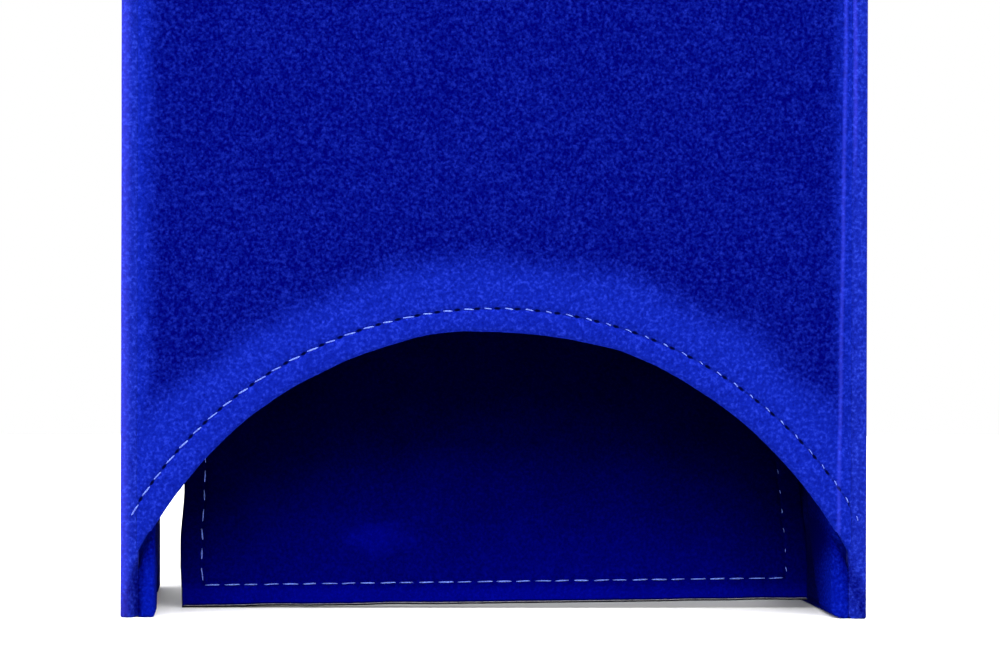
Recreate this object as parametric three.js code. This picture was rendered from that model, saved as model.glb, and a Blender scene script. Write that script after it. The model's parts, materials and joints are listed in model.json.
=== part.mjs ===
// A velour slipcase that stands on its open end, with one coin tray leaning inside it.
// Millimetres. +X is right, +Y goes to the back of the case, +Z is up, and the feet stand at z = 0.
import * as THREE from 'three';

// Slipcase: an outer box of covered boards, and a lining box of covered boards inside it.
const caseWidth = 216;
const caseDepth = 82;
const caseHeight = 250;
const outerWall = 4.7;      // side walls and closed end
const outerFace = 3.2;      // front and back
const liningWall = 4.9;
const liningFace = 2.5;
const layerGap = 0.3;       // air between the outer box and the lining box

// Finger arches in the front and the back, and the seam sewn round them.
const archTop = 82.6;
const archRadius = 115;
const liningSetBack = 0.8;  // the lining's arch is this much wider than the outer one
const seamInset = 7;
const seamReach = 60;       // degrees of the arch on each side of its top
const threadRadius = 0.4;
const threadGap = 0.1;

// Coin tray: a covered back sheet, a floor pad, a rim and a grid of dividers that half-lap.
const wellColumns = 4;
const wellRows = 5;
const wellSize = 40;
const wellDepth = 5.2;
const dividerWidth = 3;
const rimWidth = 7.8;
const sheetLip = 1.7;       // how far the back sheet stands out past the rim
const sheetThickness = 1.6;
const padThickness = 1;
const pieceGap = 0.3;
const traySeamInset = 6.5;

// How the tray stands: it leans on the back of the case, and one corner of it is lifted.
const trayLean = THREE.MathUtils.degToRad(10.5);
const trayTip = THREE.MathUtils.degToRad(0.8);
const trayFootX = 3;
const trayFootY = -16.4;

const velour = { color: 0x1414b4, roughness: 0.95, metalness: 0 };
const liningVelour = { color: 0x10109a, roughness: 0.95, metalness: 0 };
const trayVelour = { color: 0x0c0c8c, roughness: 0.95, metalness: 0 };
const thread = { color: 0x6f7fe0, roughness: 0.6, metalness: 0 };

const model = new THREE.Group();

function addPiece(parent, name, geometry, look) {
  const piece = new THREE.Mesh(geometry, new THREE.MeshStandardMaterial(look));
  piece.name = name;
  parent.add(piece);
  return piece;
}

// A box given by its lowest and highest corner.
function boxBetween(low, high) {
  const size = high.map((value, i) => value - low[i]);
  const geometry = new THREE.BoxGeometry(...size);
  return geometry.translate(low[0] + size[0] / 2, low[1] + size[1] / 2, low[2] + size[2] / 2);
}

// A flat board standing in the XZ plane, from y = front to y = front + thickness.
function uprightBoard(shape, front, thickness) {
  const geometry = new THREE.ExtrudeGeometry(shape, {
    depth: thickness,
    bevelEnabled: false,
    curveSegments: 24,
  });
  return geometry.rotateX(Math.PI / 2).translate(0, front + thickness, 0);
}

// The outline of a face board: straight sides and top, and the finger arch below.
function archedOutline(halfWidth, top, radius) {
  const centreZ = archTop - archRadius;
  const start = Math.acos(halfWidth / radius);
  const outline = new THREE.Shape();
  outline.moveTo(halfWidth, centreZ + radius * Math.sin(start));
  outline.lineTo(halfWidth, top);
  outline.lineTo(-halfWidth, top);
  outline.lineTo(-halfWidth, centreZ + radius * Math.sin(start));
  outline.absarc(0, centreZ, radius, Math.PI - start, start, true);
  return outline;
}

// ---- slipcase ----

const halfWidth = caseWidth / 2;
const halfDepth = caseDepth / 2;
const faceHalfWidth = halfWidth - outerWall;
const liningHalfWidth = faceHalfWidth - layerGap;
const liningHalfDepth = halfDepth - outerFace - layerGap;
const liningTop = caseHeight - outerWall - layerGap;
const innerHalfWidth = liningHalfWidth - liningWall;
const innerHalfDepth = liningHalfDepth - liningFace;
const innerTop = liningTop - liningWall;

function addOuterBox(slipcase) {
  const face = archedOutline(faceHalfWidth, caseHeight, archRadius);
  addPiece(slipcase, 'outer_front', uprightBoard(face, -halfDepth, outerFace), velour);
  addPiece(slipcase, 'outer_back', uprightBoard(face, halfDepth - outerFace, outerFace), velour);
  const leftWall = boxBetween([-halfWidth, -halfDepth, 0], [-faceHalfWidth, halfDepth, caseHeight]);
  const rightWall = boxBetween([faceHalfWidth, -halfDepth, 0], [halfWidth, halfDepth, caseHeight]);
  addPiece(slipcase, 'outer_left_wall', leftWall, velour);
  addPiece(slipcase, 'outer_right_wall', rightWall, velour);
  const closedEnd = boxBetween(
    [-faceHalfWidth, -halfDepth + outerFace, caseHeight - outerWall],
    [faceHalfWidth, halfDepth - outerFace, caseHeight],
  );
  addPiece(slipcase, 'outer_closed_end', closedEnd, velour);
}

function addLiningBox(slipcase) {
  const face = archedOutline(innerHalfWidth, liningTop, archRadius + liningSetBack);
  const front = uprightBoard(face, -liningHalfDepth, liningFace);
  const back = uprightBoard(face, liningHalfDepth - liningFace, liningFace);
  addPiece(slipcase, 'lining_front', front, liningVelour);
  addPiece(slipcase, 'lining_back', back, liningVelour);
  for (const [name, side] of [['lining_left_wall', -1], ['lining_right_wall', 1]]) {
    const across = [side * innerHalfWidth, side * liningHalfWidth].sort((a, b) => a - b);
    const wall = boxBetween(
      [across[0], -liningHalfDepth, 0],
      [across[1], liningHalfDepth, liningTop],
    );
    addPiece(slipcase, name, wall, liningVelour);
  }
  const closedEnd = boxBetween(
    [-innerHalfWidth, -innerHalfDepth, innerTop],
    [innerHalfWidth, innerHalfDepth, liningTop],
  );
  addPiece(slipcase, 'lining_closed_end', closedEnd, liningVelour);
}

// The seam's path: a stretch of circle round the arch, in front of a face at y.
class ArchSeamPath extends THREE.Curve {
  constructor(y) {
    super();
    this.y = y;
  }

  getPoint(t, target = new THREE.Vector3()) {
    const angle = THREE.MathUtils.degToRad(seamReach) * (2 * t - 1);
    const radius = archRadius + seamInset;
    const centreZ = archTop - archRadius;
    return target.set(radius * Math.sin(angle), this.y, centreZ + radius * Math.cos(angle));
  }
}

function addArchSeam(slipcase, name, side) {
  const section = new THREE.Shape();
  section.absarc(0, 0, threadRadius, 0, 2 * Math.PI, false);
  const geometry = new THREE.ExtrudeGeometry(section, {
    steps: 48,
    curveSegments: 3,
    extrudePath: new ArchSeamPath(side * (halfDepth + threadRadius + threadGap)),
  });
  addPiece(slipcase, name, geometry, thread);
}

const slipcase = new THREE.Group();
addOuterBox(slipcase);
addLiningBox(slipcase);
addArchSeam(slipcase, 'front_arch_seam', -1);
addArchSeam(slipcase, 'back_arch_seam', 1);
model.add(slipcase);

// ---- coin tray: x across, y from the back sheet's face to the mouths of the wells, z up ----

const pitch = wellSize + dividerWidth;
const gridWidth = wellColumns * pitch - dividerWidth;
const gridHeight = wellRows * pitch - dividerWidth;
const trayWidth = gridWidth + 2 * (rimWidth + sheetLip);
const trayHeight = gridHeight + 2 * (rimWidth + sheetLip);
const padFront = sheetThickness + pieceGap;
const gridFront = padFront + padThickness + pieceGap;
const trayThickness = gridFront + wellDepth;
const gridBottom = sheetLip + rimWidth;

function addTraySheets(tray) {
  const sheet = boxBetween([-trayWidth / 2, 0, 0], [trayWidth / 2, sheetThickness, trayHeight]);
  addPiece(tray, 'tray_back_sheet', sheet, trayVelour);
  const inset = sheetLip + rimWidth + pieceGap;
  const pad = boxBetween(
    [-trayWidth / 2 + inset, padFront, inset],
    [trayWidth / 2 - inset, padFront + padThickness, trayHeight - inset],
  );
  addPiece(tray, 'well_floor_pad', pad, trayVelour);
}

// One rim rail with mitred ends, lying along the bottom edge of the tray.
function rimRail(length) {
  const half = length / 2 - pieceGap / 2;
  const outline = new THREE.Shape();
  outline.moveTo(-half, 0);
  outline.lineTo(half, 0);
  outline.lineTo(half - rimWidth, rimWidth);
  outline.lineTo(-half + rimWidth, rimWidth);
  outline.closePath();
  return uprightBoard(outline, padFront, trayThickness - padFront);
}

function addRim(tray) {
  const across = trayWidth - 2 * sheetLip;
  const along = trayHeight - 2 * sheetLip;
  const middle = trayHeight / 2;
  const rails = [
    ['rim_bottom_rail', across, along, 0],
    ['rim_right_rail', along, across, -90],
    ['rim_top_rail', across, along, 180],
    ['rim_left_rail', along, across, 90],
  ];
  for (const [name, length, span, turn] of rails) {
    const rail = rimRail(length).translate(0, 0, -span / 2);
    rail.rotateY(THREE.MathUtils.degToRad(turn)).translate(0, 0, middle);
    addPiece(tray, name, rail, trayVelour);
  }
}

// A divider strip on edge, as a comb: notches half its depth where it crosses the others.
function dividerProfile(length, crossings, notchAtMouth) {
  const half = length / 2 - pieceGap;
  const notchHalf = dividerWidth / 2 + pieceGap;
  const middle = wellDepth / 2 + (notchAtMouth ? -pieceGap / 2 : pieceGap / 2);
  const edge = notchAtMouth ? wellDepth : 0;
  const plain = wellDepth - edge;
  const outline = new THREE.Shape();
  outline.moveTo(-half, plain);
  outline.lineTo(-half, edge);
  for (const crossing of crossings) {
    outline.lineTo(crossing - notchHalf, edge);
    outline.lineTo(crossing - notchHalf, middle);
    outline.lineTo(crossing + notchHalf, middle);
    outline.lineTo(crossing + notchHalf, edge);
  }
  outline.lineTo(half, edge);
  outline.lineTo(half, plain);
  outline.closePath();
  return outline;
}

function dividerStrip(length, crossings, notchAtMouth) {
  const outline = dividerProfile(length, crossings, notchAtMouth);
  const strip = new THREE.ExtrudeGeometry(outline, { depth: dividerWidth, bevelEnabled: false });
  return strip.translate(0, gridFront, -dividerWidth / 2);
}

// Evenly spaced places between the wells, centred on zero.
function betweenWells(count) {
  return Array.from({ length: count - 1 }, (_, i) => (i + 1 - count / 2) * pitch);
}

function addDividers(tray) {
  const columns = betweenWells(wellColumns);
  const rows = betweenWells(wellRows);
  const middle = gridBottom + gridHeight / 2;
  rows.forEach((z, i) => {
    const strip = dividerStrip(gridWidth, columns, true).translate(0, 0, middle + z);
    addPiece(tray, `cross_divider_${i + 1}`, strip, trayVelour);
  });
  columns.forEach((x, i) => {
    const strip = dividerStrip(gridHeight, rows, false);
    strip.rotateY(Math.PI / 2).translate(x, 0, middle);
    addPiece(tray, `long_divider_${i + 1}`, strip, trayVelour);
  });
}

// The seam round the back sheet, as one flat loop in front of its face.
function addTraySeam(tray) {
  const loopEdge = (inset) => {
    const right = trayWidth / 2 - inset;
    const top = trayHeight - inset;
    return [[-right, inset], [right, inset], [right, top], [-right, top]];
  };
  const outline = new THREE.Shape(
    loopEdge(traySeamInset - threadRadius).map(([x, z]) => new THREE.Vector2(x, z)),
  );
  const inside = loopEdge(traySeamInset + threadRadius).map(([x, z]) => new THREE.Vector2(x, z));
  outline.holes.push(new THREE.Path(inside));
  const loop = uprightBoard(outline, -pieceGap - 2 * threadRadius, 2 * threadRadius);
  addPiece(tray, 'tray_edge_seam', loop, thread);
}

// The tray turns about the foot of its back sheet, and its lowest corner stands on z = 0.
const lowestCorner = sheetThickness * Math.sin(trayLean)
  + trayWidth / 2 * Math.sin(trayTip) * Math.cos(trayLean);
const tray = new THREE.Group();
tray.position.set(trayFootX, trayFootY, lowestCorner);
tray.rotation.set(-trayLean, -trayTip, 0, 'XYZ');
addTraySheets(tray);
addRim(tray);
addDividers(tray);
addTraySeam(tray);
model.add(tray);

export default model;
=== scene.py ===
import json
import math
import bmesh
import bpy
from mathutils import Matrix, Vector, noise


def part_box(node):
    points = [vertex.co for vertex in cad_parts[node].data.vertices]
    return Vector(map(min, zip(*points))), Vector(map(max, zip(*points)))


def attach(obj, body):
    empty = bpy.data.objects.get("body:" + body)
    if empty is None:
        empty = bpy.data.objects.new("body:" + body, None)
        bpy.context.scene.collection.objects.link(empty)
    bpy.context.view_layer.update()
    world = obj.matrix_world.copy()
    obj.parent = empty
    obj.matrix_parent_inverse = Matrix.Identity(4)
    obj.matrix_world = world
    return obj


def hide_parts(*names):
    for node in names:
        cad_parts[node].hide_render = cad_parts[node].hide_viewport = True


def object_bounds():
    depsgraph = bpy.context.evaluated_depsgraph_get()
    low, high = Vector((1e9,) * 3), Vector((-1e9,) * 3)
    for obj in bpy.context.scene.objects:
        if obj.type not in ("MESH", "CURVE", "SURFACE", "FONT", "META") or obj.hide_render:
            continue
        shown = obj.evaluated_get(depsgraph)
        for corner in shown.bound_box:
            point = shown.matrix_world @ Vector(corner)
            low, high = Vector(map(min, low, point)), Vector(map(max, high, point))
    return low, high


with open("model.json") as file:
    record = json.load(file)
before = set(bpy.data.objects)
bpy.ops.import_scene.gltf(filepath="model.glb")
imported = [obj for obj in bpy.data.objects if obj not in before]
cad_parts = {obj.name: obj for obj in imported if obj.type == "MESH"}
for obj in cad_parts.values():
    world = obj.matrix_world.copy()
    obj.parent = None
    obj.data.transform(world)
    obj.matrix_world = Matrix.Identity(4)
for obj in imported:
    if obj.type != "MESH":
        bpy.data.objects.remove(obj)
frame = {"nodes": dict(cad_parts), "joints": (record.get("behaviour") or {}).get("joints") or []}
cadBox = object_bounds()
scene = bpy.context.scene
mm = 0.001


# Camera, floor and light

cameraSet = {
    "place": (-0.0700, -0.7092, 0.0815),
    "turnRight": 0.248,  # degrees from straight at the front
    "lookDown": 0.226,
    "roll": 0.132,
    "lens": 83.3,
    "shift": (0.2377, 0.0116),
}


def addCamera(s):
    data = bpy.data.cameras.new("camera")
    data.lens = s["lens"]
    data.shift_x, data.shift_y = s["shift"]
    camera = bpy.data.objects.new("camera", data)
    turn = Matrix.Rotation(math.radians(-s["turnRight"]), 4, "Z")
    tilt = Matrix.Rotation(math.radians(90 - s["lookDown"]), 4, "X")
    roll = Matrix.Rotation(math.radians(s["roll"]), 4, "Z")
    camera.matrix_world = Matrix.Translation(s["place"]) @ turn @ tilt @ roll
    scene.collection.objects.link(camera)
    scene.camera = camera


studioSet = {
    "roomLight": 0.10,
    "backdropTone": 1.0,
    "floorSize": 2.4,
    "floorTone": (0.81, 0.81, 0.81, 1),
    "lamps": (
        # name, place, what it points at, size, watts
        ("overheadBox", (0.0, -0.42, 1.2), (0, -0.1, 0), (1.8, 1.2), 55.0),
        ("frontBox", (-0.3, -1.3, 1.1), (0, 0, 0.1), (1.2, 0.6), 9.0),
        ("leftBox", (-1.0, -0.15, 0.5), (0, 0, 0.1), (0.5, 0.9), 9.0),
        ("rightBox", (1.0, -0.25, 0.5), (0, 0, 0.1), (0.5, 0.9), 4.5),
        ("backBox", (-0.2, 1.1, 0.38), (-0.05, 0, 0), (1.8, 0.6), 15.0),
    ),
}


def addStudio(s):
    world = bpy.data.worlds.new("studio")
    world.use_nodes = True
    nodes, links = world.node_tree.nodes, world.node_tree.links
    sky = nodes["Background"]
    sky.inputs["Color"].default_value = (1, 1, 1, 1)
    # the backdrop is seen brighter than the light that it gives
    seen = nodes.new("ShaderNodeLightPath").outputs["Is Camera Ray"]
    strength = nodes.new("ShaderNodeMapRange")
    strength.inputs["To Min"].default_value = s["roomLight"]
    strength.inputs["To Max"].default_value = s["backdropTone"]
    links.new(seen, strength.inputs["Value"])
    links.new(strength.outputs["Result"], sky.inputs["Strength"])
    scene.world = world
    scene.view_settings.view_transform = "Standard"

    bm = bmesh.new()
    bmesh.ops.create_grid(bm, x_segments=1, y_segments=1, size=s["floorSize"] / 2)
    mesh = bpy.data.meshes.new("floor")
    bm.to_mesh(mesh)
    bm.free()
    floor = bpy.data.objects.new("floor", mesh)
    scene.collection.objects.link(floor)
    paper = bpy.data.materials.new("floorPaper")
    paper.use_nodes = True
    shader = paper.node_tree.nodes["Principled BSDF"]
    shader.inputs["Base Color"].default_value = s["floorTone"]
    shader.inputs["Roughness"].default_value = 0.7
    shader.inputs["Specular IOR Level"].default_value = 0.2
    mesh.materials.append(paper)

    for name, place, target, size, watts in s["lamps"]:
        data = bpy.data.lights.new(name, "AREA")
        data.shape = "RECTANGLE"
        data.size, data.size_y = size
        data.energy = watts
        lamp = bpy.data.objects.new(name, data)
        lamp.location = place
        aim = Vector(target) - lamp.location
        lamp.rotation_euler = aim.to_track_quat("-Z", "Y").to_euler()
        scene.collection.objects.link(lamp)


addCamera(cameraSet)
addStudio(studioSet)
print("camera and studio ready")


# Places worked out from the frame

archSet = {
    "radius": 115 * mm,
    "top": 82.6 * mm,
    "seamInset": 7 * mm,
    "holePitch": 2.7277,  # degrees of arch from one needle hole to the next
    "firstHole": 0.38,
}
archSet["centreZ"] = archSet["top"] - archSet["radius"]
archSet["seamRadius"] = archSet["radius"] + archSet["seamInset"]

# The tray's own directions: the slide runs up its length, and it leans and tips with it.
slideAxis = Vector(frame["joints"][0]["axis"])
trayTip = -math.asin(slideAxis.x)
trayLean = math.atan2(slideAxis.y, slideAxis.z)
trayTurn = Matrix.Rotation(-trayLean, 4, "X") @ Matrix.Rotation(-trayTip, 4, "Y")


def trayBox(node):
    # a node's lowest and highest corner along the tray's own directions
    back = trayTurn.inverted()
    points = [back @ v.co for v in frame["nodes"][node].data.vertices]
    low = Vector(min(p[i] for p in points) for i in range(3))
    high = Vector(max(p[i] for p in points) for i in range(3))
    return low, high


# Node groups and materials

def newGroup(name, inputs, outputs):
    # a shader node group with named sockets: each has a name, a kind and, for an input, a value
    group = bpy.data.node_groups.new(name, "ShaderNodeTree")
    for title, kind, value in inputs:
        socket = group.interface.new_socket(name=title, in_out="INPUT", socket_type="NodeSocket" + kind)
        socket.default_value = value
    for title, kind in outputs:
        group.interface.new_socket(name=title, in_out="OUTPUT", socket_type="NodeSocket" + kind)
    nodes, links = group.nodes, group.links
    return group, nodes, links, nodes.new("NodeGroupInput"), nodes.new("NodeGroupOutput")


def mathNode(nodes, links, work, first, second=None, third=None, clamp=False):
    node = nodes.new("ShaderNodeMath")
    node.operation = work
    node.use_clamp = clamp
    for i, value in enumerate((first, second, third)):
        if value is None:
            continue
        if isinstance(value, (int, float)):
            node.inputs[i].default_value = value
        else:
            links.new(value, node.inputs[i])
    return node.outputs[0]


def noiseNode(nodes, links, coords, scale, detail, rough):
    node = nodes.new("ShaderNodeTexNoise")
    node.inputs["Scale"].default_value = scale
    node.inputs["Detail"].default_value = detail
    node.inputs["Roughness"].default_value = rough
    links.new(coords, node.inputs["Vector"])
    return node.outputs["Fac"]


def fadeNode(nodes, links, value, low, high, first, last):
    # goes smoothly from first to last while the value goes from low to high
    fade = nodes.new("ShaderNodeMapRange")
    fade.interpolation_type = "SMOOTHSTEP"
    links.new(value, fade.inputs["Value"])
    ends = {"From Min": low, "From Max": high, "To Min": first, "To Max": last}
    for socket, amount in ends.items():
        if isinstance(amount, (int, float)):
            fade.inputs[socket].default_value = amount
        else:
            links.new(amount, fade.inputs[socket])
    return fade.outputs["Result"]


def mixNode(nodes, links, factor, first, second, blend="MIX"):
    mix = nodes.new("ShaderNodeMix")
    mix.data_type = "RGBA"
    mix.blend_type = blend
    links.new(factor, mix.inputs["Factor"])
    for i, colour in ((6, first), (7, second)):
        if isinstance(colour, tuple):
            mix.inputs[i].default_value = colour
        else:
            links.new(colour, mix.inputs[i])
    return mix.outputs[2]


def vectorNode(nodes, links, work, first, second=None, out=0):
    node = nodes.new("ShaderNodeVectorMath")
    node.operation = work
    links.new(first, node.inputs[0])
    if isinstance(second, tuple):
        node.inputs[1].default_value = second
    elif second is not None:
        links.new(second, node.inputs[1])
    return node.outputs[out]


def placeNodes(nodes, links):
    coords = nodes.new("ShaderNodeTexCoord").outputs["Object"]
    parts = nodes.new("ShaderNodeSeparateXYZ")
    links.new(coords, parts.inputs[0])
    return coords, parts.outputs


def archDistance(nodes, links, parts):
    # how far a point is from the arch's centre, and how high above it
    up = mathNode(nodes, links, "SUBTRACT", parts["Z"], archSet["centreZ"])
    upSquare = mathNode(nodes, links, "MULTIPLY", up, up)
    acrossSquare = mathNode(nodes, links, "MULTIPLY", parts["X"], parts["X"])
    total = mathNode(nodes, links, "ADD", upSquare, acrossSquare)
    return mathNode(nodes, links, "SQRT", total), up


pileSet = {
    "tuft": 1130,  # scales of the noises, per metre
    "clump": 520,
    "stroke": 45,
    "tuftSwing": 1.3,
    "clumpSwing": 0.22,
    "strokeSwing": 0.22,
    "speckleLow": 0.57,  # how strong the speckle is where the velour isn't brightened
    "speckleGain": 0.2,
}


def makePileGroup(s):
    # short cut pile: fine speckle of the tufts, painted glints on the tuft tips, and broad strokes; the
    # brightening factor mixes towards the lighter colour and carries both the pile's own tone and the
    # painted sheen, light and shade that each look adds
    group, nodes, links, start, end = newGroup(
        "velourPile",
        (("Deep", "Color", (0, 0, 0.2, 1)), ("Brightened", "Color", (0, 0, 0.5, 1)),
         ("Glints", "Color", (0.01, 0.01, 0.1, 1)), ("Brightening", "Float", 0.0),
         ("Speckle", "Float", 1.0), ("Strokes", "Float", 1.0)),
        (("Color", "Color"), ("Height", "Float")))
    coords = nodes.new("ShaderNodeTexCoord").outputs["Object"]
    tuft = noiseNode(nodes, links, coords, s["tuft"], 1.0, 0.6)
    clump = noiseNode(nodes, links, coords, s["clump"], 2.0, 0.6)
    stroke = noiseNode(nodes, links, coords, s["stroke"], 3.0, 0.55)
    swings = []
    for noiseOut, swing in ((tuft, "tuftSwing"), (clump, "clumpSwing"), (stroke, "strokeSwing")):
        centred = mathNode(nodes, links, "SUBTRACT", noiseOut, 0.5)
        swings.append(mathNode(nodes, links, "MULTIPLY", centred, s[swing]))
    speckle = mathNode(nodes, links, "ADD", swings[0], swings[1])
    speckle = mathNode(nodes, links, "MULTIPLY", speckle, start.outputs["Speckle"])
    broad = mathNode(nodes, links, "MULTIPLY", swings[2], start.outputs["Strokes"])
    brightening = start.outputs["Brightening"]
    spread = mathNode(nodes, links, "MULTIPLY_ADD", brightening, s["speckleGain"], s["speckleLow"])
    speckle = mathNode(nodes, links, "MULTIPLY", speckle, spread)
    factor = mathNode(nodes, links, "ADD", speckle, broad)
    factor = mathNode(nodes, links, "ADD", factor, brightening, clamp=True)
    colour = mixNode(nodes, links, factor, start.outputs["Deep"], start.outputs["Brightened"])
    # painted glints: a pale colour added on the highest tufts, more where the velour is lighter
    peak = mathNode(nodes, links, "MULTIPLY_ADD", tuft, 4.0, -2.1, clamp=True)
    peak = mathNode(nodes, links, "MULTIPLY", peak, factor)
    colour = mixNode(nodes, links, peak, colour, start.outputs["Glints"], "ADD")
    links.new(colour, end.inputs["Color"])
    height = mathNode(nodes, links, "MULTIPLY", clump, 0.6)
    height = mathNode(nodes, links, "ADD", height, tuft)
    links.new(height, end.inputs["Height"])
    return group


def makeArchSheenGroup():
    # 1 beside the arch and near the sides, where painted sheen lightens the velour over its curved
    # edges, and 0 far from it
    group, nodes, links, start, end = newGroup(
        "archSheenBand",
        (("Inner", "Float", 0.129), ("Outer", "Float", 0.142), ("Side Start", "Float", 0.0955),
         ("Side End", "Float", 0.1040)),
        (("SheenBand", "Float"),))
    coords, parts = placeNodes(nodes, links)
    wander = noiseNode(nodes, links, coords, 60, 2.0, 0.5)
    wander = mathNode(nodes, links, "SUBTRACT", wander, 0.5)
    wander = mathNode(nodes, links, "MULTIPLY", wander, 0.010)
    distance, up = archDistance(nodes, links, parts)
    distance = mathNode(nodes, links, "ADD", distance, wander)
    sheenBand = fadeNode(nodes, links, distance, start.outputs["Inner"], start.outputs["Outer"], 1, 0)
    across = mathNode(nodes, links, "ABSOLUTE", parts["X"])
    side = fadeNode(nodes, links, across, start.outputs["Side Start"], start.outputs["Side End"], 0, 1)
    links.new(mathNode(nodes, links, "MAXIMUM", sheenBand, side), end.inputs["SheenBand"])
    return group


def makeNeedleHoleShadeGroup():
    # painted shade: 1 in each needle hole of the arch seam, and a faint line where the seam draws the
    # pile in
    group, nodes, links, start, end = newGroup(
        "needleHoleShade",
        (("Long", "Float", 0.00095), ("Wide", "Float", 0.00040), ("Line", "Float", 0.35)),
        (("HoleShade", "Float"),))
    coords, parts = placeNodes(nodes, links)
    distance, up = archDistance(nodes, links, parts)
    off = mathNode(nodes, links, "SUBTRACT", distance, archSet["seamRadius"])
    angle = mathNode(nodes, links, "ARCTAN2", parts["X"], up)
    pitch = math.radians(archSet["holePitch"])
    turns = mathNode(nodes, links, "MULTIPLY_ADD", angle, 1 / pitch,
                     -archSet["firstHole"] / archSet["holePitch"])
    near = mathNode(nodes, links, "SUBTRACT", turns, mathNode(nodes, links, "ROUND", turns))
    near = mathNode(nodes, links, "MULTIPLY", near, pitch * archSet["seamRadius"])
    near = mathNode(nodes, links, "DIVIDE", near, start.outputs["Long"])
    off = mathNode(nodes, links, "DIVIDE", off, start.outputs["Wide"])
    offSquare = mathNode(nodes, links, "MULTIPLY", off, off)
    nearSquare = mathNode(nodes, links, "MULTIPLY", near, near)
    around = mathNode(nodes, links, "ADD", offSquare, nearSquare)
    hole = fadeNode(nodes, links, around, 0.3, 1.8, 1, 0)
    line = fadeNode(nodes, links, offSquare, 0, 1.2, start.outputs["Line"], 0)
    links.new(mathNode(nodes, links, "MAXIMUM", hole, line), end.inputs["HoleShade"])
    return group


def makeTrayFootLightGroup():
    # the tray's pile is lighter along its foot and less and less upwards, which is painted light from
    # below, and lighter in one small patch
    group, nodes, links, start, end = newGroup(
        "trayFootLight",
        (("Patch Place", "Vector", (-0.032, -0.010, 0.021)), ("Patch Size", "Float", 0.011)),
        (("FootLight", "Float"),))
    coords, parts = placeNodes(nodes, links)
    total = 0.0
    for low, high, amount in ((0.0045, 0.0085, 0.9), (0.004, 0.070, 0.45)):
        rise = fadeNode(nodes, links, parts["Z"], low, high, amount, 0)
        total = mathNode(nodes, links, "ADD", rise, total)
    away = vectorNode(nodes, links, "SUBTRACT", coords, start.outputs["Patch Place"])
    squashed = vectorNode(nodes, links, "MULTIPLY", away, (1, 0.3, 2.0))
    length = vectorNode(nodes, links, "LENGTH", squashed, out="Value")
    ragged = noiseNode(nodes, links, coords, 160, 3.0, 0.6)
    far = mathNode(nodes, links, "DIVIDE", length, start.outputs["Patch Size"])
    far = mathNode(nodes, links, "SUBTRACT", far, 0.8)
    far = mathNode(nodes, links, "MULTIPLY_ADD", ragged, 1.6, far)
    lighterPatch = fadeNode(nodes, links, far, 0.1, 1.3, 1.1, 0)
    links.new(mathNode(nodes, links, "ADD", lighterPatch, total), end.inputs["FootLight"])
    return group


def makeFoldShadeGroup():
    # painted shade: 1 deep in the folds of the feet: between wall and lining, and under the arch's
    # turned edge
    group, nodes, links, start, end = newGroup(
        "footFoldShade", (("Crevice", "Float", 0.10315),), (("FoldShade", "Float"),))
    coords, parts = placeNodes(nodes, links)
    side = mathNode(nodes, links, "ABSOLUTE", parts["X"])
    side = mathNode(nodes, links, "SUBTRACT", side, start.outputs["Crevice"])
    side = mathNode(nodes, links, "ABSOLUTE", side)
    distance, up = archDistance(nodes, links, parts)
    under = mathNode(nodes, links, "SUBTRACT", archSet["radius"], distance)
    crevice = fadeNode(nodes, links, side, 0.0002, 0.0017, 1, 0)
    underEdge = fadeNode(nodes, links, under, 0.0010, 0.0075, 1, 0)
    belowArch = fadeNode(nodes, links, distance, 0.112, 0.116, 1, 0)
    # the right foot's fold is pressed nearly flat, so it gets less painted shade
    pressed = nodes.new("ShaderNodeMapRange")
    links.new(parts["X"], pressed.inputs["Value"])
    pressed.inputs["From Min"].default_value = -0.05
    pressed.inputs["From Max"].default_value = 0.05
    pressed.inputs["To Min"].default_value = 1
    pressed.inputs["To Max"].default_value = 0.2
    crevice = mathNode(nodes, links, "MULTIPLY", crevice, pressed.outputs["Result"])
    either = mathNode(nodes, links, "MAXIMUM", crevice, underEdge)
    links.new(mathNode(nodes, links, "MULTIPLY", either, belowArch), end.inputs["FoldShade"])
    return group


sheenLineSet = (
    # X at the foot and at the top, half width, height where it starts and is full, strength
    (0.0993, 0.1022, 0.0009, -0.02, 0.0, 0.9),
    (0.1041, 0.1041, 0.0009, 0.120, 0.150, 1.0),
    (-0.1075, -0.1075, 0.0030, -0.02, 0.0, 1.0),
)


def makeSheenLineGroup(s):
    # 1 along the pressed folds near the sides and along the left wall's front edge, where painted sheen
    # makes the pile look paler
    group, nodes, links, start, end = newGroup("paintedSheenLines", (), (("SheenLine", "Float"),))
    coords, parts = placeNodes(nodes, links)
    wander = noiseNode(nodes, links, coords, 34, 2.0, 0.5)
    total = 0.0
    for foot, top, wide, begins, full, strength in s:
        slope = (top - foot) / cadBox[1][2]
        place = mathNode(nodes, links, "MULTIPLY_ADD", parts["Z"], slope, foot)
        place = mathNode(nodes, links, "MULTIPLY_ADD", wander, 0.0008, place)
        off = mathNode(nodes, links, "SUBTRACT", parts["X"], place)
        off = mathNode(nodes, links, "ABSOLUTE", mathNode(nodes, links, "ADD", off, 0.0004))
        for value, low, high, first, last in ((off, 0.0, wide, 1, 0),
                                              (parts["Z"], begins, full, 0, 1),
                                              (parts["Y"], -0.038, -0.030, 1, 0)):
            fade = fadeNode(nodes, links, value, low, high, first, last)
            strength = mathNode(nodes, links, "MULTIPLY", fade, strength)
        total = mathNode(nodes, links, "ADD", strength, total)
    links.new(total, end.inputs["SheenLine"])
    return group


pileGroup = makePileGroup(pileSet)
archSheenGroup = makeArchSheenGroup()
needleHoleShadeGroup = makeNeedleHoleShadeGroup()
trayFootLightGroup = makeTrayFootLightGroup()
foldShadeGroup = makeFoldShadeGroup()
sheenLineGroup = makeSheenLineGroup(sheenLineSet)

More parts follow.
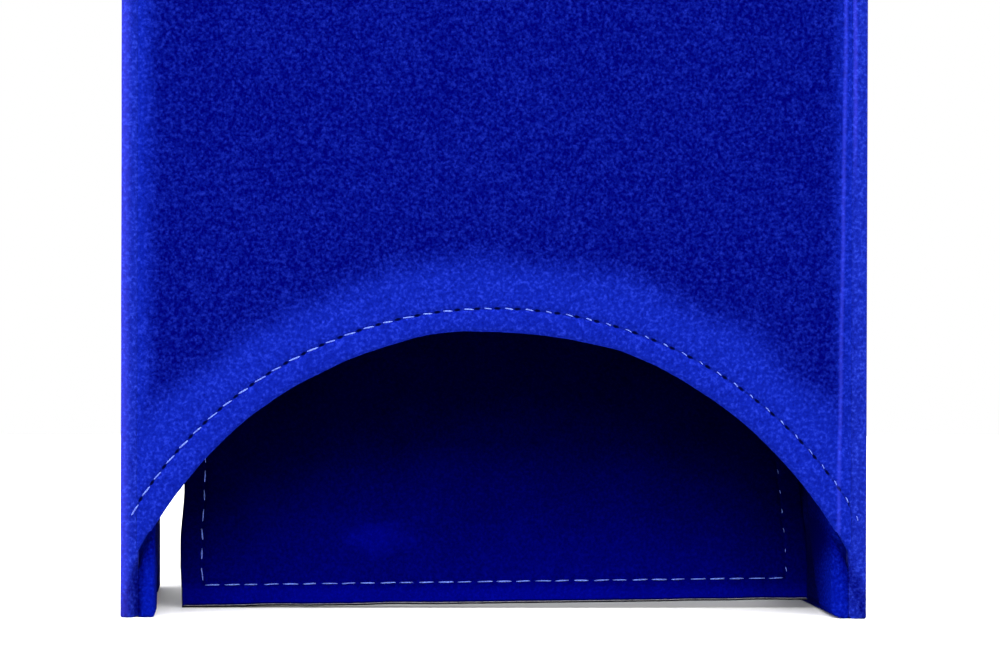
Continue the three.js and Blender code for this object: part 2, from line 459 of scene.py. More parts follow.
plainLook = {
    "strokes": 0.6,
    "speckle": 0.8,
    "sheenBand": 0.0,  # how much painted sheen lightens it beside the arch and near the sides
    "rim": None,  # depths between which painted light brightens it towards the front and back edges, and how much
    "foldShade": 0.0,  # how much painted shade darkens the feet's folds
    "pale": None,  # the colour that painted sheen adds along the pressed folds
    # how much painted light from below brightens the tray towards its foot
    "paintedFootLight": 0.0,
    "nap": 0.0,  # how much the pile stands up
    "sheen": 0.0,
    "sheenTint": (0.1, 0.2, 1, 1),
}
liningLook = dict(plainLook, deep=(0.0001, 0.0003, 0.060, 1), brightened=(0.0012, 0.008, 0.310, 1),
                  glints=(0.003, 0.008, 0.08, 1), nap=0.5)
velourLooks = {
    "outerVelour": dict(
        plainLook,
        deep=(0.0002, 0.0003, 0.075, 1),
        brightened=(0.0052, 0.0175, 0.345, 1),
        glints=(0.008, 0.014, 0.09, 1),
        brightening=0.12,
        speckle=1.0,
        strokes=0.5,
        sheenBand=0.40,
        sheen=0.03,
        sheenTint=(0.08, 0.16, 1, 1),
        pale=(0.0100, 0.0130, 0.125, 1),
    ),
    "cornerVelour": dict(
        plainLook,
        deep=(0.0003, 0.0006, 0.080, 1),
        brightened=(0.0085, 0.023, 0.370, 1),
        glints=(0.012, 0.022, 0.10, 1),
        brightening=0.12,
        speckle=1.0,
        strokes=0.4,
        sheen=0.08,
        sheenTint=(0.36, 0.38, 1, 1),
        rim=(0.0335, 0.0395, 0.36),
        foldShade=0.40,
        pale=(0.0110, 0.0100, 0.105, 1),
    ),
    "liningVelour": dict(liningLook, brightening=0.20),
    # painted light and shade: the lining walls are darker deeper in and brightened towards their front
    # edges
    "liningRimVelour": dict(liningLook, brightening=0.08, rim=(0.018, 0.0395, 0.36), foldShade=0.40),
    # the tray's colours are painted darker than the case's, with the shade it stands in inside the case
    "trayVelour": dict(
        plainLook,
        deep=(0.00002, 0.00002, 0.024, 1),
        brightened=(0.0003, 0.0010, 0.200, 1),
        glints=(0.0004, 0.0010, 0.03, 1),
        brightening=0.24,
        speckle=0.7,
        strokes=1.6,
        nap=1.2,
        paintedFootLight=0.30,
    ),
}


def newMaterial(name):
    material = bpy.data.materials.new(name)
    material.use_nodes = True
    nodes, links = material.node_tree.nodes, material.node_tree.links
    return material, nodes, links, nodes["Principled BSDF"]


def groupNode(nodes, group):
    node = nodes.new("ShaderNodeGroup")
    node.node_tree = group
    return node


def makeVelour(name, s):
    material, nodes, links, shader = newMaterial(name)
    shader.inputs["Roughness"].default_value = 0.95
    shader.inputs["IOR"].default_value = 1.03
    shader.inputs["Specular IOR Level"].default_value = 0.1
    shader.inputs["Sheen Weight"].default_value = s["sheen"]
    shader.inputs["Sheen Roughness"].default_value = 0.4
    shader.inputs["Sheen Tint"].default_value = s["sheenTint"]
    pile = groupNode(nodes, pileGroup)
    for key in ("deep", "brightened", "glints", "brightening", "speckle", "strokes"):
        pile.inputs[key.capitalize()].default_value = s[key]
    colour = pile.outputs["Color"]
    # the pile's own tone and the painted sheen, light and shade below all go into this one factor
    # towards the lighter colour
    brightening = pile.inputs["Brightening"]
    # painted sheen beside the arch and near the sides
    if s["sheenBand"]:
        sheenBand = groupNode(nodes, archSheenGroup).outputs["SheenBand"]
        amount = mathNode(nodes, links, "MULTIPLY", sheenBand, s["sheenBand"])
        links.new(mathNode(nodes, links, "ADD", amount, s["brightening"]), brightening)
        # painted shade darkens the needle holes and the seam line
        holes = groupNode(nodes, needleHoleShadeGroup).outputs["HoleShade"]
        colour = mixNode(nodes, links, holes, colour, (0.0005, 0.0012, 0.028, 1))
    # painted light towards the front and back edges: sheen on the walls' rounded edges, and the lining
    # lit at the front and shaded deeper in
    if s["rim"]:
        low, high, gain = s["rim"]
        coords, parts = placeNodes(nodes, links)
        depth = mathNode(nodes, links, "ABSOLUTE", parts["Y"])
        rim = fadeNode(nodes, links, depth, low, high, s["brightening"], s["brightening"] + gain)
        # painted shade darkens the folds of the feet
        foldShading = groupNode(nodes, foldShadeGroup).outputs["FoldShade"]
        links.new(mathNode(nodes, links, "MULTIPLY_ADD", foldShading, -s["foldShade"], rim), brightening)
    if s["pale"]:
        # painted sheen along the pressed folds and the left edge
        ridges = groupNode(nodes, sheenLineGroup).outputs["SheenLine"]
        colour = mixNode(nodes, links, ridges, colour, s["pale"], "ADD")
    # painted light from below brightens the tray towards its foot
    if s["paintedFootLight"]:
        footLight = groupNode(nodes, trayFootLightGroup).outputs["FootLight"]
        amount = mathNode(nodes, links, "MULTIPLY_ADD", footLight, s["paintedFootLight"], s["brightening"])
        links.new(amount, brightening)
    links.new(colour, shader.inputs["Base Color"])
    bump = nodes.new("ShaderNodeBump")
    bump.inputs["Strength"].default_value = 0.4
    bump.inputs["Distance"].default_value = 0.25 * mm
    links.new(pile.outputs["Height"], bump.inputs["Height"])
    if s["nap"]:
        # the pile stands up the board, so it takes its light from above
        facing = nodes.new("ShaderNodeNewGeometry").outputs["Normal"]
        lean = vectorNode(nodes, links, "ADD", facing, (0, 0, s["nap"]))
        links.new(vectorNode(nodes, links, "NORMALIZE", lean), bump.inputs["Normal"])
    links.new(bump.outputs["Normal"], shader.inputs["Normal"])
    return material


def makeFibres(name, s):
    # a fine two-toned fibre: the thread's plies, and the cut edge of the tray's board
    material, nodes, links, shader = newMaterial(name)
    coords = nodes.new("ShaderNodeTexCoord").outputs["Object"]
    fibre = noiseNode(nodes, links, coords, s["scale"], s["detail"], s["rough"])
    ramp = nodes.new("ShaderNodeValToRGB")
    for i, (place, colour) in enumerate(s["ramp"]):
        ramp.color_ramp.elements[i].color = colour
        ramp.color_ramp.elements[i].position = place
    links.new(fibre, ramp.inputs["Fac"])
    links.new(ramp.outputs["Color"], shader.inputs["Base Color"])
    shader.inputs["Roughness"].default_value = s["gloss"]
    shader.inputs["Sheen Weight"].default_value = s["sheen"]
    if s["bump"]:
        bump = nodes.new("ShaderNodeBump")
        bump.inputs["Distance"].default_value = s["bump"]
        links.new(fibre, bump.inputs["Height"])
        links.new(bump.outputs["Normal"], shader.inputs["Normal"])
    return material


def makeDarkBoard():
    material, nodes, links, shader = newMaterial("darkBoard")
    shader.inputs["Base Color"].default_value = (0.006, 0.006, 0.012, 1)
    shader.inputs["Roughness"].default_value = 0.9
    shader.inputs["Specular IOR Level"].default_value = 0.1
    return material


velours = {name: makeVelour(name, look) for name, look in velourLooks.items()}
threadSet = {
    "scale": 2600, "detail": 2.0, "rough": 0.6, "gloss": 0.55, "sheen": 0.3, "bump": 0.1 * mm,
    "ramp": ((0.35, (0.014, 0.036, 0.36, 1)), (0.68, (0.11, 0.21, 0.80, 1))),
}
cutEdgeSet = {
    "scale": 900, "detail": 3.0, "rough": 0.7, "gloss": 0.9, "sheen": 0.0, "bump": 0,
    "ramp": ((0.3, (0.10, 0.10, 0.14, 1)), (0.75, (0.42, 0.42, 0.46, 1))),
}
sewingThread = makeFibres("sewingThread", threadSet)
rawCutEdge = makeFibres("rawCutEdge", cutEdgeSet)
darkBoard = makeDarkBoard()
print("materials ready")


# Helpers for the pieces

def finishPiece(name, bm, body, materials, nodes):
    mesh = bpy.data.meshes.new(name)
    bm.to_mesh(mesh)
    bm.free()
    for material in materials:
        mesh.materials.append(material)
    mesh.shade_smooth()
    piece = bpy.data.objects.new(name, mesh)
    scene.collection.objects.link(piece)
    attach(piece, body)
    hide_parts(*nodes)
    return piece


def roundedDrop(depth, radius):
    # how far a rounded edge has fallen away at this distance from the side
    if depth >= radius:
        return 0.0
    return radius - math.sqrt(max(0.0, radius * radius - (radius - depth) ** 2))


def smoothRise(value, low, high):
    part = min(1.0, max(0.0, (value - low) / (high - low)))
    return part * part * (3 - 2 * part)


def cutAcross(bm, place, normal, clearOuter=False):
    bmesh.ops.bisect_plane(bm, geom=bm.verts[:] + bm.edges[:] + bm.faces[:], dist=1e-7,
                           plane_co=place, plane_no=normal, clear_outer=clearOuter)


def thicken(bm, depth):
    # a flat sheet becomes a board of this depth in Y
    grown = bmesh.ops.extrude_face_region(bm, geom=bm.faces[:], use_keep_orig=True)
    verts = [v for v in grown["geom"] if isinstance(v, bmesh.types.BMVert)]
    bmesh.ops.translate(bm, verts=verts, vec=(0, depth, 0))


edgeCuts = [radiusPart * mm for radiusPart in (0.06, 0.2, 0.45, 0.8, 1.2, 1.5)]
tiny = 1e-6


# Arched face boards

outerFaceSet = {
    "archRound": 1.45 * mm,
    "sideRound": 0.25 * mm,
    "topRound": 1.45 * mm,
    "rings": (0, 0.06, 0.2, 0.45, 0.8, 1.2, 1.5, 2.2, 3, 4, 5, 5.7, 6.1, 6.4, 6.7, 7, 7.3, 7.6,
              7.9, 8.3, 9, 10, 12, 15, 19, 24, 30, 38, 48, 60, 75, 95, 120, 150, 190),
    "stepsPerStitch": 10,
    "lipPuff": 0.30 * mm,
    "trough": 0.30 * mm,
    "hole": 0.55 * mm,
    "ridge": 0.22 * mm,
    "ridgeIn": 1.3 * mm,
    "edgeWander": 0.25 * mm,
    # degrees of arch, and millimetres that its edge lies outside the true curve there
    "edgeShape": ((-60, -0.7), (-50, -0.6), (-42, -0.45), (-37, -0.15), (-24, -0.15), (-17, 0.15),
                  (-13, 0.45), (-9.3, 0.95), (-5.6, 0.8), (-1, 0.35), (4, 0.12), (11, 0.3),
                  (14.7, 0.4), (18.5, 0.75), (22.4, 0.45), (26, 0.2), (31, -0.12), (39, -0.25),
                  (44, -0.7), (60, -0.6)),
}
liningFaceSet = {
    "archRound": 1.1 * mm,
    "sideRound": 0.5 * mm,
    "topRound": 1.1 * mm,
    "rings": (0, 0.1, 0.3, 0.6, 0.9, 1.2, 2.5, 6, 14, 30, 60, 110, 190),
    "stepsPerStitch": 2,
    "lipPuff": 0,
    "trough": 0,
    "hole": 0,
    "ridge": 0,
    "ridgeIn": 1 * mm,
    "edgeWander": 0.15 * mm,
    "edgeShape": ((-60, 0), (60, 0)),
}


def seamSink(across, up, s):
    # the velour is drawn in along the seam, and most at each needle hole
    rise = up - archSet["centreZ"]
    away = math.hypot(across, rise) - archSet["radius"]
    fromSeam = away - archSet["seamInset"]
    angle = math.degrees(math.atan2(across, rise))
    turns = (angle - archSet["firstHole"]) / archSet["holePitch"]
    fromHole = (turns - round(turns)) * math.radians(archSet["holePitch"]) * archSet["seamRadius"]
    sink = s["trough"] * math.exp(-((fromSeam / (0.9 * mm)) ** 2))
    sink += s["hole"] * math.exp(-(fromSeam ** 2 + fromHole ** 2) / (0.6 * mm) ** 2)
    if 0 < away < archSet["seamInset"]:
        sink -= s["lipPuff"] * math.sin(math.pi * away / archSet["seamInset"])
    return sink


def edgeOffset(angle, shape):
    # how far the hand-turned edge lies outside the true arch, in metres
    for (first, low), (second, high) in zip(shape, shape[1:]):
        if first <= angle <= second:
            return (low + (high - low) * (angle - first) / (second - first)) * mm
    return 0.0


def archedBoard(node, radius, s):
    low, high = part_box(node)
    facing = -1 if low.y < 0 else 1
    outsideY, insideY = (low.y, high.y) if facing < 0 else (high.y, low.y)
    half, top = high.x, high.z
    stitches = 48
    step = math.radians(archSet["holePitch"])
    start = math.radians(archSet["firstHole"]) - stitches / 2 * step
    bm = bmesh.new()
    reach = [radius + ring * mm for ring in s["rings"]]
    row = [bm.verts.new((math.sin(start) * r, outsideY, archSet["centreZ"] + math.cos(start) * r))
           for r in reach]
    edges = [bm.edges.new(pair) for pair in zip(row, row[1:])]
    bmesh.ops.spin(bm, geom=row + edges, cent=(0, outsideY, archSet["centreZ"]), axis=(0, 1, 0),
                   angle=stitches * step, steps=stitches * s["stepsPerStitch"])
    cutAcross(bm, (half, 0, 0), (1, 0, 0), True)
    cutAcross(bm, (-half, 0, 0), (-1, 0, 0), True)
    cutAcross(bm, (0, 0, top), (0, 0, 1), True)
    for inset in edgeCuts:
        cutAcross(bm, (half - inset, 0, 0), (1, 0, 0))
        cutAcross(bm, (inset - half, 0, 0), (1, 0, 0))
        cutAcross(bm, (0, 0, top - inset), (0, 0, 1))
    bmesh.ops.remove_doubles(bm, verts=bm.verts, dist=2e-6)
    thicken(bm, insideY - outsideY)
    for v in bm.verts:
        rise = v.co.z - archSet["centreZ"]
        far = math.hypot(v.co.x, rise)
        away = far - radius
        fromSide = half - abs(v.co.x)
        drop = max(roundedDrop(max(0, fromSide), s["sideRound"]),
                   roundedDrop(max(0, top - v.co.z), s["topRound"]),
                   roundedDrop(max(0, away), s["archRound"]))
        if abs(v.co.y - outsideY) < tiny:
            ridge = s["ridge"] * math.exp(-(((fromSide - s["ridgeIn"]) / (0.8 * mm)) ** 2))
            v.co.y -= facing * (drop + seamSink(v.co.x, v.co.z, s) - ridge)
        else:
            v.co.y += facing * drop
        # the turned-in edge of the arch isn't cut to a perfect curve
        loose = max(0.0, 1 - away / (6 * mm)) * min(1, max(0, fromSide) / (6 * mm))
        if loose > 0:
            wander = noise.noise(Vector((v.co.x * 70, facing * 2.3, v.co.z * 70)))
            wander += 0.35 * noise.noise(Vector((v.co.x * 420, facing * 5.1, v.co.z * 420)))
            shape = edgeOffset(math.degrees(math.atan2(v.co.x, rise)), s["edgeShape"])
            grow = 1 + (wander * s["edgeWander"] + shape) * loose / far
            v.co.x *= grow
            v.co.z = archSet["centreZ"] + rise * grow
    bmesh.ops.recalc_face_normals(bm, faces=bm.faces)
    return bm


liningRadius = archSet["radius"] + 0.8 * mm
for name, node, radius, faceSet, slotName, look in (
        ("frontVelour", "outer_front", archSet["radius"], outerFaceSet, "outer_velour", "outerVelour"),
        ("backVelour", "outer_back", archSet["radius"], outerFaceSet, "outer_velour", "outerVelour"),
        ("liningFront", "lining_front", liningRadius, liningFaceSet, "lining_velour", "liningVelour"),
        ("liningBack", "lining_back", liningRadius, liningFaceSet, "lining_velour", "liningVelour")):
    finishPiece(name, archedBoard(node, radius, faceSet), "case", [velours[look]], [node])
print("arched boards ready")


# Plain boards with rolled edges

def softBoard(name, node, body, velour, rolled, segments):
    # a merged copy of the board, with the velour rolled round all of its edges
    bm = bmesh.new()
    bm.from_mesh(frame["nodes"][node].data)
    bmesh.ops.remove_doubles(bm, verts=bm.verts, dist=1e-6)
    bmesh.ops.dissolve_limit(bm, angle_limit=0.01, verts=bm.verts, edges=bm.edges)
    sharp = [e for e in bm.edges if e.calc_face_angle(0) > 0.5]
    bmesh.ops.bevel(bm, geom=sharp, offset=rolled, offset_type="OFFSET", segments=segments,
                    profile=0.5, affect="EDGES", clamp_overlap=True, material=-1)
    bmesh.ops.recalc_face_normals(bm, faces=bm.faces)
    finishPiece(name, bm, body, [velour], [node])


def footWall(node, s):
    # a side wall: its two end faces stand in front of the arches' feet, so they get soft roundings
    low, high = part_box(node)
    side = 1 if high.x > 0 else -1
    inner, outer = (low.x, high.x) if side > 0 else (high.x, low.x)
    thick = high.x - low.x
    bm = bmesh.new()
    bmesh.ops.create_cube(bm, size=1)
    middle = (low + high) / 2
    for v in bm.verts:
        v.co = Vector([middle[i] + v.co[i] * (high[i] - low[i]) for i in range(3)])
    # places of the cuts, counted in from each face
    cuts = [((inner + side * d * mm, 0, 0), (1, 0, 0)) for d in s["innerCuts"]]
    cuts += [((outer - side * d * mm, 0, 0), (1, 0, 0)) for d in s["outerCuts"]]
    cuts += [((0, 0, d * mm), (0, 0, 1)) for d in s["heightCuts"]]
    cuts += [((0, 0, high.z - d * mm), (0, 0, 1)) for d in (0.15, 0.4, 0.8, 1.3, 2)]
    cuts += [((0, end * (high.y - d * mm), 0), (0, 1, 0)) for end in (-1, 1) for d in s["depthCuts"]]
    for place, normal in cuts:
        cutAcross(bm, place, normal)
    for v in bm.verts:
        fromInner, fromOuter = abs(v.co.x - inner), abs(outer - v.co.x)
        fromEnd = high.y - abs(v.co.y)
        end = 1 if v.co.y > 0 else -1
        height = v.co.z
        archUp = archSet["centreZ"] + math.sqrt(max(0, archSet["radius"] ** 2 - v.co.x ** 2))
        nose = s["nose"] * smoothRise(archUp - height, 1.8 * mm, s["noseRise"])
        below = smoothRise(archUp - height, 0, 4 * mm)
        toFold = fromOuter if s["recess"] else fromInner
        valley = s["valley"] * below * (1 - smoothRise(toFold, 0, s["valleyWide"]))
        if fromEnd < tiny:
            drop = max(valley, roundedDrop(fromInner, s["innerRound"]),
                       roundedDrop(fromOuter, s["outerRound"]), roundedDrop(height, s["footRound"]),
                       roundedDrop(high.z - height, s["footRound"]))
            ridge = s["ridge"] * math.exp(-(((fromInner - s["ridgeIn"]) / (0.7 * mm)) ** 2))
            v.co.y += end * (nose - drop + ridge)
        elif fromEnd < s["innerRound"] + 1.2 * mm:
            v.co.y += end * nose
        footInner = s["footInnerRight"] if side > 0 else s["footInnerLeft"]
        lift = max(roundedDrop(fromInner, footInner), roundedDrop(fromOuter, s["footOuter"]))
        v.co.z += lift * max(0, 1 - height / (9 * mm))
        if s["recess"] and fromInner < tiny and fromEnd > 10 * mm:
            # behind its padded end the wall stands back, and the pad gets deeper upwards
            slope = s["padSlope"] * smoothRise(40 * mm - fromEnd, 0, 6 * mm)
            v.co.y -= end * slope * min(height, 34 * mm)
        if s["recess"] and fromInner < s["innerRound"] * 0.4 and fromEnd > s["padDepth"]:
            v.co.x += side * s["recess"] * smoothRise(fromEnd, s["padDepth"], s["padDepth"] + 1.2 * mm)
        if fromInner < tiny:
            v.co.x -= side * s["fill"]
        thin = s["backThin"] * smoothRise(v.co.y, -20 * mm, 28 * mm)
        v.co.x += side * thin * (1 - fromInner / thick)
        crown = max(roundedDrop(fromInner, 1.2 * mm), roundedDrop(fromOuter, 1.2 * mm))
        v.co.z -= crown * max(0, 1 - (high.z - height) / (6 * mm))
        ripple = noise.noise(Vector((v.co.x * 90, v.co.y * 90, height * 60))) * s["ripple"]
        if fromOuter < tiny:
            v.co.x -= side * max(0, ripple)
        if fromInner < tiny:
            v.co.x += side * max(0, ripple)
    bmesh.ops.recalc_face_normals(bm, faces=bm.faces)
    return bm


footHeights = [0.12, 0.35, 0.7, 1.1, 1.6, 2.2, 3] + list(range(4, 40)) + list(range(42, 250, 4))
outerWallSet = {
    "innerCuts": (0.06, 0.2, 0.4, 0.6, 1, 1.5, 2, 2.5, 3),
    "outerCuts": (0.06, 0.2, 0.4, 0.7, 1.1, 1.4),
    "heightCuts": footHeights,
    "depthCuts": (3.2, 6, 20),
    "nose": 0,  # how far the foot's end stands out below the arch
    "noseRise": 4 * mm,
    "valley": 1.9 * mm,  # depth of the fold between wall and lining
    "valleyWide": 2.4 * mm,
    "recess": 0,
    "innerRound": 0.3 * mm,
    "outerRound": 1.3 * mm,
    "footRound": 0.9 * mm,
    "footInnerLeft": 0.6 * mm,
    "footInnerRight": 0.6 * mm,
    "fill": 0.45 * mm,  # how far the wall reaches in, to meet the lining
    "backThin": 0,
    "footOuter": 0.8 * mm,
    "ridge": 0.25 * mm,
    "ridgeIn": 2.1 * mm,
    "ripple": 0.10 * mm,
}
liningWallSet = {
    "innerCuts": (0.06, 0.2, 0.45, 0.8, 1.2, 1.7, 2.3, 2.8, 3.3),
    "outerCuts": (0.06, 0.2, 0.45, 0.8, 1.2, 1.55),
    "heightCuts": footHeights,
    "depthCuts": (4.6, 9, 12, 13.2, 13.5, 13.8, 14.1, 14.5, 16, 20),
    "nose": 3.1 * mm,
    "noseRise": 6 * mm,
    "valley": 1.5 * mm,
    "valleyWide": 2.0 * mm,
    "recess": 2.4 * mm,
    "padDepth": 13.3 * mm,
    "padSlope": 0.5,
    "innerRound": 3.2 * mm,
    "outerRound": 0.4 * mm,
    "footRound": 1.0 * mm,
    "footInnerLeft": 1.0 * mm,
    "footInnerRight": 3.4 * mm,
    "fill": 0,
    "backThin": 0,
    "footOuter": 0.8 * mm,
    "ridge": 0,
    "ridgeIn": 2 * mm,
    "ripple": 0.15 * mm,
}
leftLiningSet = dict(liningWallSet, innerRound=1.5 * mm, backThin=1.5 * mm)
rightLiningSet = dict(liningWallSet, valley=0.5 * mm, outerRound=0.2 * mm)
rightWallSet = dict(outerWallSet, valley=0.6 * mm)
for node, name, slotName, look, wallSet in (
        ("outer_left_wall", "leftWallVelour", "outer_velour", "cornerVelour", outerWallSet),
        ("outer_right_wall", "rightWallVelour", "outer_velour", "cornerVelour", rightWallSet),
        ("lining_left_wall", "leftLiningVelour", "lining_velour", "liningRimVelour", leftLiningSet),
        ("lining_right_wall", "rightLiningVelour", "lining_velour", "liningRimVelour", rightLiningSet)):
    finishPiece(name, footWall(node, wallSet), "case", [velours[look]], [node])
print("side walls ready")

boardRolls = {
    "outer_closed_end": ("closedEndVelour", "outer_velour", "outerVelour", 1.4 * mm),
    "lining_closed_end": ("liningEndVelour", "lining_velour", "liningVelour", 1.2 * mm),
}
for node, (name, slotName, look, rolled) in boardRolls.items():
    softBoard(name, node, "case", velours[look], rolled, 4)
print("plain boards ready")


# Stitches

stitchSet = {
    "thick": 0.19 * mm,
    "rise": 0.10 * mm,
    "sink": 0.55 * mm,
    "from": 0.10,  # parts of the way from one needle hole to the next that show
    "to": 0.76,
    "skew": 0.16 * mm,
}


def addStitch(bm, first, second, normal, s, slant, seed):
    # one stitch: a thin strand that comes out of one needle hole and dives in before the next
    start = first.lerp(second, s["from"])
    finish = first.lerp(second, s["to"] + 0.05 * math.sin(seed * 2.3))
    along = finish - start
    half = along.length / 2
    along.normalize()
    side = normal.cross(along).normalized()
    thick = s["thick"] * (1 + 0.15 * math.sin(seed * 1.7 + 0.6))
    made = bmesh.ops.create_uvsphere(bm, u_segments=7, v_segments=8, radius=1)
    middle = (start + finish) / 2
    for v in made["verts"]:
        t = max(-1, min(1, v.co.z))
        full = max(1e-6, 1 - t * t) ** -0.2 if abs(t) < 0.999 else 1
        out = v.co.y * full * thick
        wide = v.co.x * full * thick + t * slant * s["skew"]
        lift = s["rise"] - (s["rise"] + s["sink"]) * t ** 4
        v.co = middle + along * (t * half) + side * wide + normal * (out + lift)


def archHoles(facing):
    holes = []
    for k in range(-22, 23):
        angle = math.radians(archSet["firstHole"] + k * archSet["holePitch"])
        across = math.sin(angle) * archSet["seamRadius"]
        up = archSet["centreZ"] + math.cos(angle) * archSet["seamRadius"]
        if abs(across) < 106.6 * mm:
            up -= 1.2 * mm * smoothRise(abs(across), 102 * mm, 107 * mm)
            holes.append(Vector((across, facing * cadBox[1][1], up)))
    return holes


for name, node, facing in (("frontArchStitches", "front_arch_seam", -1),
                           ("backArchStitches", "back_arch_seam", 1)):
    bm = bmesh.new()
    holes = archHoles(facing)
    for i, (first, second) in enumerate(zip(holes, holes[1:])):
        # towards the right the thread lies deeper in the pile
        buried = smoothRise(first.x, -60 * mm, 55 * mm)
        look = dict(stitchSet)
        look["from"] += 0.10 + 0.30 * buried
        look["thick"] *= 1 - 0.28 * buried
        look["rise"] -= 0.06 * mm * buried
        addStitch(bm, first, second, Vector((0, facing, 0)), look, facing, i)
    finishPiece(name, bm, "case", [sewingThread], [node])
print("arch seams ready")


# Coin tray

sheetLow, sheetHigh = trayBox("tray_back_sheet")
traySheetSet = {
    "seamInset": 6.5 * mm,
    "stitchesAcross": 30,
    "stitchesAlong": 37,
    "stepsPerStitch": 4,
    "trough": 0.22 * mm,
    "hole": 0.45 * mm,
    "coreFrom": 0.45 * mm,  # the pale core shows in the cut edge between these depths
    "coreTo": 0.75 * mm,
    "cutWave": 0.35 * mm,
    "sideStitches": (  # foot, right, head, left
        {"to": 0.88, "skew": 0.08 * mm},
        {"from": 0.30, "to": 0.56, "thick": 0.11 * mm, "rise": 0.0},
        {"to": 0.80},
        {"to": 0.74},
    ),
    # millimetres up from the foot, and millimetres that the edge lies to the right there
    "leftEdge": ((0, 0.1), (5, -0.1), (12, -0.5), (22, -0.3), (34, 0.9), (45, 1.3), (80, 0.6),
                 (120, 0)),
    "rightEdge": ((0, 0.1), (10, 0.5), (20, 0.4), (36, -0.6), (45, -1.4), (80, -1.0), (120, 0)),
    "slantFoot": 0.75 * mm,  # how much the back of the cut edge stands out past its front
    "slantSide": 0.25 * mm,
}


def sheetRows(length, stitches, s):
    # places of the grid's rows: close together at the cut edge and at the seam
    near = [0, 0.12, 0.4, 0.9, 2, 3.5, 5, 5.7, 6.1, 6.5, 6.9, 7.3, 8]
    rows = [place * mm for place in near]
    span = length - 2 * s["seamInset"]
    count = stitches * s["stepsPerStitch"]
    rows += [s["seamInset"] + span * i / count for i in range(1, count)]
    rows += [length - place for place in rows if place <= 8 * mm]
    rows = sorted(rows)
    kept = [rows[0]]
    for place in rows[1:]:
        if place - kept[-1] > 0.08 * mm:
            kept.append(place)
    return kept


def tableValue(place, table):
    # both columns in millimetres
    for (first, low), (second, high) in zip(table, table[1:]):
        if first * mm <= place <= second * mm:
            return (low + (high - low) * (place / mm - first) / (second - first)) * mm
    return table[-1][1] * mm


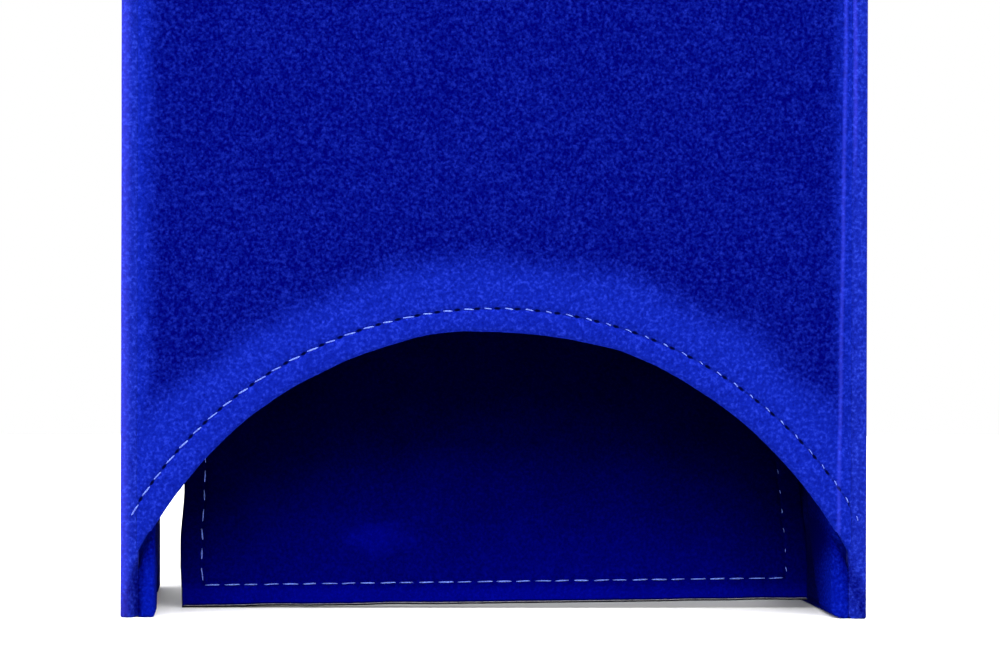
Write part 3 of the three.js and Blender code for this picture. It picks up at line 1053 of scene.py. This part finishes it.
def traySheet(s):
    width = sheetHigh.x - sheetLow.x
    height = sheetHigh.z - sheetLow.z
    columns = sheetRows(width, s["stitchesAcross"], s)
    rows = sheetRows(height, s["stitchesAlong"], s)
    bm = bmesh.new()
    bmesh.ops.create_grid(bm, x_segments=len(columns) - 1, y_segments=len(rows) - 1, size=0.5)
    for v in bm.verts:
        i = round((v.co.x + 0.5) * (len(columns) - 1))
        j = round((v.co.y + 0.5) * (len(rows) - 1))
        v.co = Vector((sheetLow.x + columns[i], sheetLow.y, sheetLow.z + rows[j]))
    thickness = sheetHigh.y - sheetLow.y
    thicken(bm, thickness)
    for depth in (s["coreFrom"], s["coreTo"]):
        cutAcross(bm, (0, sheetLow.y + depth, 0), (0, 1, 0))
    pitchAcross = (width - 2 * s["seamInset"]) / s["stitchesAcross"]
    pitchAlong = (height - 2 * s["seamInset"]) / s["stitchesAlong"]
    for v in bm.verts:
        fromLeft, fromRight = v.co.x - sheetLow.x, sheetHigh.x - v.co.x
        fromFoot, fromHead = v.co.z - sheetLow.z, sheetHigh.z - v.co.z
        edge = min(fromLeft, fromRight, fromFoot, fromHead)
        front = abs(v.co.y - sheetLow.y) < tiny
        if front:
            sink = roundedDrop(edge, 0.4 * mm)
            for away, alongSeam, pitch in (
                    (fromLeft, fromFoot, pitchAlong), (fromRight, fromFoot, pitchAlong),
                    (fromFoot, fromLeft, pitchAcross), (fromHead, fromLeft, pitchAcross)):
                off = away - s["seamInset"]
                turns = (alongSeam - s["seamInset"]) / pitch
                near = (turns - round(turns)) * pitch
                if edge > s["seamInset"] - 0.3 * mm:
                    sink += s["trough"] * math.exp(-((off / (0.9 * mm)) ** 2))
                    sink += s["hole"] * math.exp(-(off ** 2 + near ** 2) / (0.8 * mm) ** 2)
            v.co.y += sink
        depth = min(1, (v.co.y - sheetLow.y) / thickness) if not front else 0
        taper = max(0.0, 1 - edge / (2 * mm)) * (1 - depth)
        if edge == fromFoot:
            v.co.z += s["slantFoot"] * taper
        elif edge == fromLeft:
            v.co.x += s["slantSide"] * taper
        elif edge == fromRight:
            v.co.x -= s["slantSide"] * taper
        sway = max(0.0, 1 - max(0.0, min(fromLeft, fromRight)) / (25 * mm))
        table = s["leftEdge"] if fromLeft < fromRight else s["rightEdge"]
        v.co.x += tableValue(fromFoot, table) * sway
        # the cut edge isn't quite straight
        loose = max(0.0, 1 - edge / (5 * mm))
        if loose > 0:
            wave = noise.noise(Vector((v.co.x * 55, 3.1, v.co.z * 55))) * s["cutWave"] * loose
            if min(fromLeft, fromRight) < min(fromFoot, fromHead):
                v.co.x += wave
            else:
                v.co.z += max(0.0, wave) if fromFoot < fromHead else wave
    for face in bm.faces:
        depths = [v.co.y - sheetLow.y for v in face.verts]
        middle = sum(depths) / len(depths)
        flat = abs(face.normal.y) > 0.5
        if not flat and middle > s["coreFrom"]:
            face.material_index = 1 if middle < s["coreTo"] else 2
    bmesh.ops.transform(bm, verts=bm.verts, matrix=trayTurn)
    bmesh.ops.recalc_face_normals(bm, faces=bm.faces)
    return bm


finishPiece("traySheetVelour", traySheet(traySheetSet), "tray",
            [velours["trayVelour"], rawCutEdge, darkBoard], ["tray_back_sheet"])


def trayStitches(s):
    inset = s["seamInset"]
    left, right = sheetLow.x + inset, sheetHigh.x - inset
    foot, head = sheetLow.z + inset, sheetHigh.z - inset
    corners = [Vector((left, 0, foot)), Vector((right, 0, foot)),
               Vector((right, 0, head)), Vector((left, 0, head))]
    bm = bmesh.new()
    normal = Vector((0, -1, 0))
    looks = [dict(stitchSet, **own) for own in s["sideStitches"]]
    for side, count in enumerate((s["stitchesAcross"], s["stitchesAlong"]) * 2):
        begin, finish = corners[side], corners[(side + 1) % 4]
        places = [begin.lerp(finish, k / count) for k in range(count + 1)]
        for i, (first, second) in enumerate(zip(places, places[1:])):
            first.y = second.y = sheetLow.y
            ends = [first.copy(), second.copy()]
            for end in ends:
                # the seam follows the cut edge
                table = s["leftEdge"] if end.x < 0 else s["rightEdge"]
                near = min(end.x - sheetLow.x, sheetHigh.x - end.x)
                end.x += tableValue(end.z - sheetLow.z, table) * max(0.0, 1 - near / (25 * mm))
            slant = 0.5 + 0.9 * math.sin(i * 2.9 + side)
            addStitch(bm, ends[0], ends[1], normal, looks[side], slant, i + side)
    bmesh.ops.transform(bm, verts=bm.verts, matrix=trayTurn)
    return bm


finishPiece("trayStitches", trayStitches(traySheetSet), "tray", [sewingThread],
            ["tray_edge_seam"])

trayRolls = {"well_floor_pad": ("wellFloorVelour", 0.3 * mm)}
for word in ("bottom", "right", "top", "left"):
    trayRolls[f"rim_{word}_rail"] = (f"{word}RailVelour", 0.9 * mm)
for i in range(1, 5):
    trayRolls[f"cross_divider_{i}"] = (f"crossDivider{i}Velour", 0.6 * mm)
for i in range(1, 4):
    trayRolls[f"long_divider_{i}"] = (f"longDivider{i}Velour", 0.6 * mm)
for node, (name, rolled) in trayRolls.items():
    softBoard(name, node, "tray", velours["trayVelour"], rolled, 3)
print("coin tray ready")
